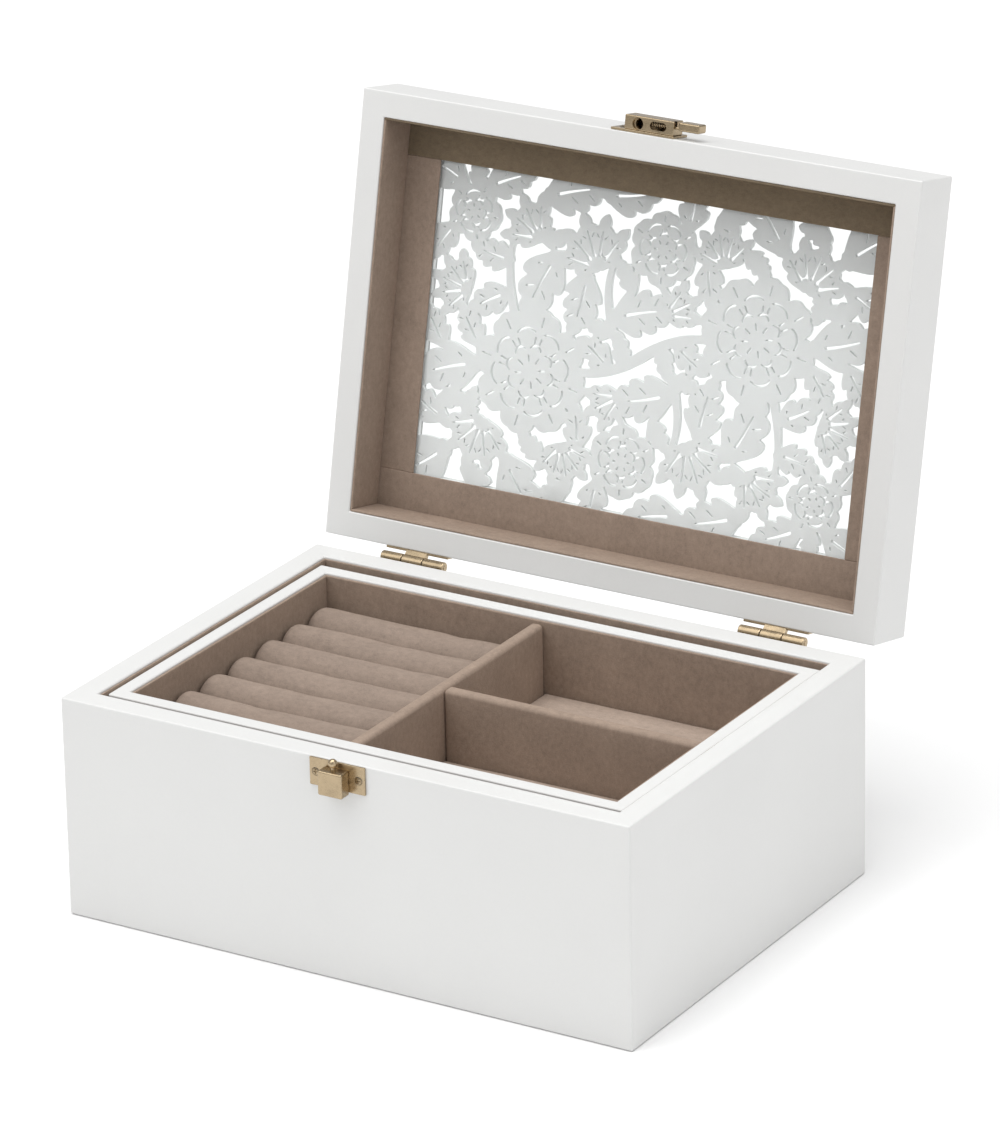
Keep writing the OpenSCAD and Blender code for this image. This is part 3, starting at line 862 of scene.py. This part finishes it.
def cap(loops, rows, upper):
    """Triangles between the outermost loop and the holes.

    They index points that are laid out loop by loop, and in each loop row by row.
    """
    border = max(range(len(loops)), key=lambda i: np.ptp(loops[i]))
    flat, faces, owner = [], [], []
    start = 0
    for number, loop in enumerate(loops):
        ring = list(range(len(flat), len(flat) + len(loop)))
        faces.append(ring if number == border else ring[::-1])
        flat += [Vector(point) for point in loop]
        row = rows - 1 if upper else 0
        owner += [start + row * len(loop) + i for i in range(len(loop))]
        start += rows * len(loop)
    _, _, triangles, corners, _, sources = delaunay_2d_cdt(flat, [], faces, 1, 1e-6)
    wood = [triangle for triangle, source in zip(triangles, sources) if source == [border]]
    index = [source[0] for source in corners]
    turn = 1 if upper else -1
    return [tuple(owner[index[i]] for i in triangle[::turn]) for triangle in wood]


def make_fretwork():
    low, high = home_box("lid_fretwork")
    width, depth = (high - low)[:2]
    ledge = home_box("lid_ledge_left")
    half_w, half_d = -ledge[1][0], -home_box("lid_ledge_front")[1][1]
    field = panel_grid(width, depth)
    draw_garden(field, half_w, half_d)
    rim = np.maximum(np.abs(field.px) - half_w, np.abs(field.py) - half_d) - 0.2
    outside = np.minimum(width / 2 - np.abs(field.px), depth / 2 - np.abs(field.py))
    inside = np.minimum(np.maximum(field.solid(), rim), outside)
    kept = joined_to_border(inside > 0)
    inside = np.where((inside > 0) & ~kept, -0.5, inside)
    loops = [tidied(loop) for loop in outlines(field, inside) if len(loop) > 8]
    loops = [loop for loop in loops if len(loop) > 4]
    chamfer = 0.15
    levels = (
        (chamfer, low[2]), (0, low[2] + chamfer), (0, high[2] - chamfer), (chamfer, high[2]),
    )
    points, faces, start = [], [], 0
    for loop in loops:
        count = len(loop)
        for amount, z in levels:
            points += [(*point, z) for point in inset(loop, amount)]
        for row in range(len(levels) - 1):
            for i in range(count):
                j = (i + 1) % count
                a, b = start + row * count, start + (row + 1) * count
                faces.append((a + i, a + j, b + j, b + i))
        start = len(points)
    for upper in (False, True):
        faces += cap(loops, len(levels), upper)
    new_piece("floral_fretwork", points, faces, FRET_LACQUER_PAINTED_LIGHT, ["lid_fretwork"], smooth=False)


# ---------- brass and glass ----------

HINGE_X = 85
HINGE_LENGTH = 30
KNUCKLE_RADIUS = 2.4
KNUCKLE_GAP = 0.2
PIN_RADIUS = 1.0
SCREW_RADIUS = 1.6
# Slots in the screw heads: half their length, half their width, and how far they go below the plate
SLOT_REACH = 1.1
SLOT_HALF_WIDTH = 0.18
SLOT_FLOOR = 0.15
HINGE_SCREWS = (-10.5, 0, 10.5)
HINGE_SCREW_DROP = 9.15
# Screws of the catch's two plates, from each plate's lower left corner
KEEPER_SCREWS = ((2.8, 5.8), (22.4, 5.8))
CATCH_SCREWS = ((2.8, 5.7), (25.7, 9.9))
# Hinge leaves: how far from the axis they start and end, and their thickness
LEAF_NEAR = 2.0
LEAF_FAR = 13.5
LEAF_THICKNESS = 1
# Webs from leaf to knuckles: height from the axis at the leaf, and reach past and short of the axis
WEB_ROOT = (2.2, 3.4)
WEB_ROOT_FRONT = 3.6
WEB_TOP = KNUCKLE_RADIUS - 0.4
WEB_PAST_AXIS = 0.3
WEB_SHORT_OF_AXIS = 1.7
# Rounding of the edges of thin plates
PLATE_EDGE = 0.25
# The catch's housing: its walls, the hole for the ball, and the ends and half width of its oval window
HOUSING_WALL = 0.8
BALL_HOLE_RADIUS = 2.5
WINDOW_ENDS = (5.6, 13.2)
WINDOW_RADIUS = 1.7
# The slot in the housing's end: its reach in y, and its top above the underside. The rod, whose middle is
# at its inner edge, still cuts into the wall there
END_SLOT_DEPTH = 2.6
END_SLOT_TOP = 2.8
# The thumb piece: its tab, the rod through the housing, and the end of the ring round the ball
TAB_LENGTH = 9.5
TAB_DEPTH = 3.6
ROD_RADIUS = 0.55
RING_END = 4.6
# Middle and radius of the hole in the ring, and the rod's (y, z) from the thumb piece's lowest corner
RING_HOLE_X = 0.7
RING_HOLE_RADIUS = 2.2
ROD_PLACE = (2.6, 0.9)
# The spring round the rod
COIL_END = 14.2
COIL_TURNS = 9
COIL_RADIUS = 0.95
WIRE_RADIUS = 0.19


def turned(profile, place, axis, segments=32):
    """A solid of revolution: profile is a list of (distance along the axis, radius), from tip to tip."""
    along = Vector(axis)
    side = along.orthogonal().normalized()
    across = along.cross(side)
    points, faces = [], []
    for distance, radius in profile:
        for i in range(segments):
            a = 2 * math.pi * i / segments
            out = side * math.cos(a) + across * math.sin(a)
            points.append(Vector(place) + along * distance + out * radius)
    for row in range(len(profile) - 1):
        for i in range(segments):
            j = (i + 1) % segments
            a, b = row * segments, (row + 1) * segments
            faces.append((a + i, a + j, b + j, b + i))
    faces.append(tuple(reversed(range(segments))))
    faces.append(tuple(range(len(points) - segments, len(points))))
    return points, faces


def round_bar(start, length, radius, axis, edge=0.2):
    """A round bar with softened ends."""
    profile = [(0, radius - edge), (edge * 0.3, radius - edge * 0.3), (edge, radius)]
    profile += [(length - distance, width) for distance, width in reversed(profile)]
    return turned(profile, start, axis)


def prism(outline, start, length):
    """A solid along x: outline is a loop of (y, z)."""
    count = len(outline)
    points = [(x, y, z) for x in (start, start + length) for y, z in outline]
    faces = [tuple(reversed(range(count))), tuple(range(count, 2 * count))]
    faces += [(i, (i + 1) % count, count + (i + 1) % count, count + i) for i in range(count)]
    return points, faces


def gathered(shapes):
    """Several shapes as one list of points and faces."""
    points, faces = [], []
    for more, polygons in shapes:
        faces += [tuple(i + len(points) for i in polygon) for polygon in polygons]
        points += [Vector(point) for point in more]
    return points, faces


def helper(points, faces, body):
    """A closed mesh in metres at its body's place at rest, all its faces looking outwards."""
    mesh = bpy.data.meshes.new("helper")
    mesh.from_pydata([Vector(point) * MM for point in points], [], faces)
    mesh.transform(PLACES[body])
    made = bmesh.new()
    made.from_mesh(mesh)
    bmesh.ops.recalc_face_normals(made, faces=made.faces)
    made.to_mesh(mesh)
    made.free()
    return mesh


def machined(name, nodes, material, start, joined=(), cuts=()):
    """A metal part: a start shape, with others joined on and others cut away."""
    body = frame["nodes"][nodes[0]]["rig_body"]
    piece = bpy.data.objects.new(name, helper(*start, body))
    bpy.context.scene.collection.objects.link(piece)
    tools = []
    for operation, shapes in (("UNION", joined), ("DIFFERENCE", cuts)):
        for shape in shapes:
            tool = bpy.data.objects.new("tool", helper(*shape, body))
            bpy.context.scene.collection.objects.link(tool)
            step = piece.modifiers.new("shape", "BOOLEAN")
            step.operation = operation
            step.object = tool
            tools.append(tool)
    bpy.context.view_layer.update()
    shaped = bpy.data.meshes.new_from_object(piece.evaluated_get(bpy.context.evaluated_depsgraph_get()))
    piece.modifiers.clear()
    piece.data = shaped
    for tool in tools:
        bpy.data.objects.remove(tool)
    shaped.materials.clear()
    shaped.materials.append(material)
    shaped.shade_smooth()
    shaped.set_sharp_from_angle(angle=math.radians(32))
    even = piece.modifiers.new("flat_faces", "WEIGHTED_NORMAL")
    even.keep_sharp = True
    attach(piece, body)
    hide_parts(*nodes)
    return piece


def block(low, high, edge):
    return rounded_box(low, high, edge, 1000)


def screw_places(plate, offsets):
    """Centres of screw heads on the front face of a plate, from offsets from its lower left corner."""
    low = home_box(plate)[0]
    return [(low[0] + x, low[1], low[2] + z) for x, z in offsets]


def hinge_screw_places(side, up):
    """Centres of a hinge leaf's screw heads: up is 1 for the leaf on the lid and -1 for the other."""
    face_y = home_box("base_back")[1][1] + LEAF_THICKNESS
    axis_z = joints["lid_hinge"]["pos_m"][2] / MM
    return [(side * HINGE_X + x, face_y, axis_z + up * HINGE_SCREW_DROP) for x in HINGE_SCREWS]


def sinks(places, outward):
    """Countersunk holes for screw heads."""
    profile = [(-1.5, SCREW_RADIUS * 0.6), (-0.55, SCREW_RADIUS), (0.5, SCREW_RADIUS + 0.25)]
    return gathered([turned(profile, place, (0, outward, 0), 24) for place in places])


def screw_heads(name, node, fronts, backs):
    """Oval-headed screws with crossed slots."""
    profile = [(-0.5, 0.9), (-0.05, 1.45), (0.08, 1.5), (0.22, 1.2), (0.32, 0.7), (0.35, 0.2)]
    heads, level, upright = [], [], []
    for places, outward in ((fronts, -1), (backs, 1)):
        for x, y, z in places:
            heads.append(turned(profile, (x, y, z), (0, outward, 0), 24))
            near, far = sorted((y - SLOT_FLOOR * outward, y + outward))
            for slots, u, v in ((level, SLOT_REACH, SLOT_HALF_WIDTH), (upright, SLOT_HALF_WIDTH, SLOT_REACH)):
                slots.append(block((x - u, near, z - v), (x + u, far, z + v), 0.02))
    machined(name, [node], SCREW_BRASS, gathered(heads), cuts=(gathered(level), gathered(upright)))


def slot(start, end, y, z):
    """Cutters for a round-ended slot along X that reaches from z down past the housing's underside."""
    depth = 3
    ends = [round_bar((x, y, z - depth), depth, WINDOW_RADIUS, (0, 0, 1), 0.01) for x in (start, end)]
    middle = block((start, y - WINDOW_RADIUS, z - depth), (end, y + WINDOW_RADIUS, z), 0.01)
    return [*ends, middle]


def make_keeper():
    """The ball on its block, with the plate behind. Gives the plate's screws and the ball's y."""
    low, high = home_box("keeper_plate")
    screws = screw_places("keeper_plate", KEEPER_SCREWS)
    plate = block(low, high, PLATE_EDGE)
    machined("brass_keeper_plate", ["keeper_plate"], BRASS, plate, cuts=[sinks(screws, -1)])
    low, high = home_box("keeper_block")
    machined("brass_keeper_block", ["keeper_block"], BRASS, block(low, high, 0.75))
    low, high = home_box("keeper_ball")
    radius = (high[0] - low[0]) / 2
    centre = high[2] - radius
    dome = [(centre - radius * math.cos(a), radius * math.sin(a)) for a in np.linspace(0.55, 3.1, 18)]
    neck = [(low[2], 0.9), (centre - radius * 0.95, 1.0)]
    x, y = (low + high)[:2] / 2
    machined("brass_keeper_ball", ["keeper_ball"], BRASS, turned(neck + dome, (x, y, 0), (0, 0, 1)))
    return screws, y


def make_catch(ball_y):
    """The plate and hollow housing on the lid, with the sliding thumb piece. Gives the plate's screws."""
    low, high = home_box("catch_plate")
    screws = screw_places("catch_plate", CATCH_SCREWS)
    plate = block(low, high, PLATE_EDGE)
    machined("brass_catch_plate", ["catch_plate"], BRASS, plate, cuts=[sinks(screws, -1)])
    low, high = home_box("catch_housing")
    start, end = WINDOW_ENDS[0] + WINDOW_RADIUS, WINDOW_ENDS[1] - WINDOW_RADIUS
    end_slot = (high[0] - 2, low[1], low[2] + HOUSING_WALL)
    machined(
        "brass_catch_housing", ["catch_housing"], BRASS, block(low, high, 0.5),
        cuts=[
            block(low + HOUSING_WALL, high + (-HOUSING_WALL, 1, -HOUSING_WALL), 0.3),
            round_bar((0, ball_y, low[2] - 1), 3, BALL_HOLE_RADIUS, (0, 0, 1), 0.01),
            *slot(start, end, (low[1] + high[1]) / 2, low[2] + 2),
            block(end_slot, (high[0] + 1, low[1] + END_SLOT_DEPTH, low[2] + END_SLOT_TOP), 0.1),
        ],
    )
    make_slide(ball_y)
    return screws


def make_slide(ball_y):
    """The thumb piece: a ring round the ball, a rod through the housing's end, and a tab."""
    low, high = home_box("catch_slide")
    tab = high[0] - TAB_LENGTH
    rod = (RING_END, low[1] + ROD_PLACE[0], low[2] + ROD_PLACE[1])
    machined(
        "brass_catch_slide", ["catch_slide"], BRASS,
        block((tab, low[1], low[2]), (high[0], low[1] + TAB_DEPTH, high[2]), 0.7),
        joined=[
            round_bar((RING_END - 0.5, *rod[1:]), tab + 1 - RING_END, ROD_RADIUS, (1, 0, 0)),
            block((low[0], low[1] + 1, low[2] + 0.2), (RING_END, high[1], low[2] + 1.6), 0.2),
        ],
        cuts=[round_bar((RING_HOLE_X, ball_y, low[2] - 1), 4, RING_HOLE_RADIUS, (0, 0, 1), 0.01)],
    )
    make_spring(Vector(rod))


def make_spring(start, sections=8, steps=20):
    """The coil that pushes the thumb piece out."""
    points, faces = [], []
    count = COIL_TURNS * steps
    for i in range(count + 1):
        a = 2 * math.pi * i / steps
        out = Vector((0, math.cos(a), math.sin(a)))
        centre = start + Vector(((COIL_END - RING_END) * i / count, 0, 0)) + out * COIL_RADIUS
        for k in range(sections):
            b = 2 * math.pi * k / sections
            points.append(centre + (out * math.cos(b) + Vector((1, 0, 0)) * math.sin(b)) * WIRE_RADIUS)
    for i in range(count):
        for k in range(sections):
            j = (k + 1) % sections
            a, b = i * sections, (i + 1) * sections
            faces.append((a + j, a + k, b + k, b + j))
    faces += [tuple(range(sections)), tuple(reversed(range(len(points) - sections, len(points))))]
    spring = new_piece("catch_spring", points, faces, SCREW_BRASS, ["catch_housing"])
    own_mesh(spring)


def leaf_web(up):
    """Side view of the strip that joins a leaf to its knuckles, as (y, z)."""
    back = home_box("base_back")[1][1]
    axis_y, axis_z = (joints["lid_hinge"]["pos_m"][i] / MM for i in (1, 2))
    reach = axis_y - back
    heel = [(0, WEB_ROOT[0]), (0, WEB_ROOT[1]), (LEAF_THICKNESS, WEB_ROOT_FRONT)]
    outline = [*heel, (reach + WEB_PAST_AXIS, WEB_TOP), (reach - WEB_SHORT_OF_AXIS, 0)]
    return [(back + u, axis_z + up * v) for u, v in outline]


def make_hinges():
    """Two butt hinges. The knuckles are solid bars, and the pins run inside them unseen."""
    axis_y, axis_z = (joints["lid_hinge"]["pos_m"][i] / MM for i in (1, 2))
    back = home_box("base_back")[1][1]
    third = (HINGE_LENGTH - 2 * KNUCKLE_GAP) / 3
    pins = []
    for side, hand in ((-1, "left"), (1, "right")):
        start = side * HINGE_X - HINGE_LENGTH / 2
        pins.append(round_bar((start - 0.25, axis_y, axis_z), HINGE_LENGTH + 0.5, PIN_RADIUS, (1, 0, 0)))
        for up, half, places in ((-1, "base", (0, 2)), (1, "lid", (1,))):
            near, far = sorted((axis_z + up * LEAF_NEAR, axis_z + up * LEAF_FAR))
            joined = []
            for place in places:
                left = start + place * (third + KNUCKLE_GAP)
                joined.append(prism(leaf_web(up), left, third))
                joined.append(round_bar((left, axis_y, axis_z), third, KNUCKLE_RADIUS, (1, 0, 0), 0.35))
            machined(
                f"brass_hinge_{half}_leaf_{hand}", [f"hinge_{half}_leaf_{hand}"], BRASS,
                block((start, back, near), (start + HINGE_LENGTH, back + LEAF_THICKNESS, far), PLATE_EDGE),
                joined=joined, cuts=[sinks(hinge_screw_places(side, up), 1)],
            )
    machined("brass_hinge_pins", ["hinge_pins"], BRASS, gathered(pins))


def make_fittings():
    front_screws, ball_y = make_keeper()
    lid_screws = make_catch(ball_y)
    make_hinges()
    for name, fronts, up in (("base_screws", front_screws, -1), ("lid_screws", lid_screws, 1)):
        backs = [place for side in (-1, 1) for place in hinge_screw_places(side, up)]
        screw_heads("brass_" + name, name, fronts, backs)
    glass = frame["nodes"]["lid_glass"]
    glass.data.materials.clear()
    glass.data.materials.append(GLASS)


make_camera()
make_studio()
make_shells()
make_linings()
make_supports()
make_padding()
make_fretwork()
make_fittings()
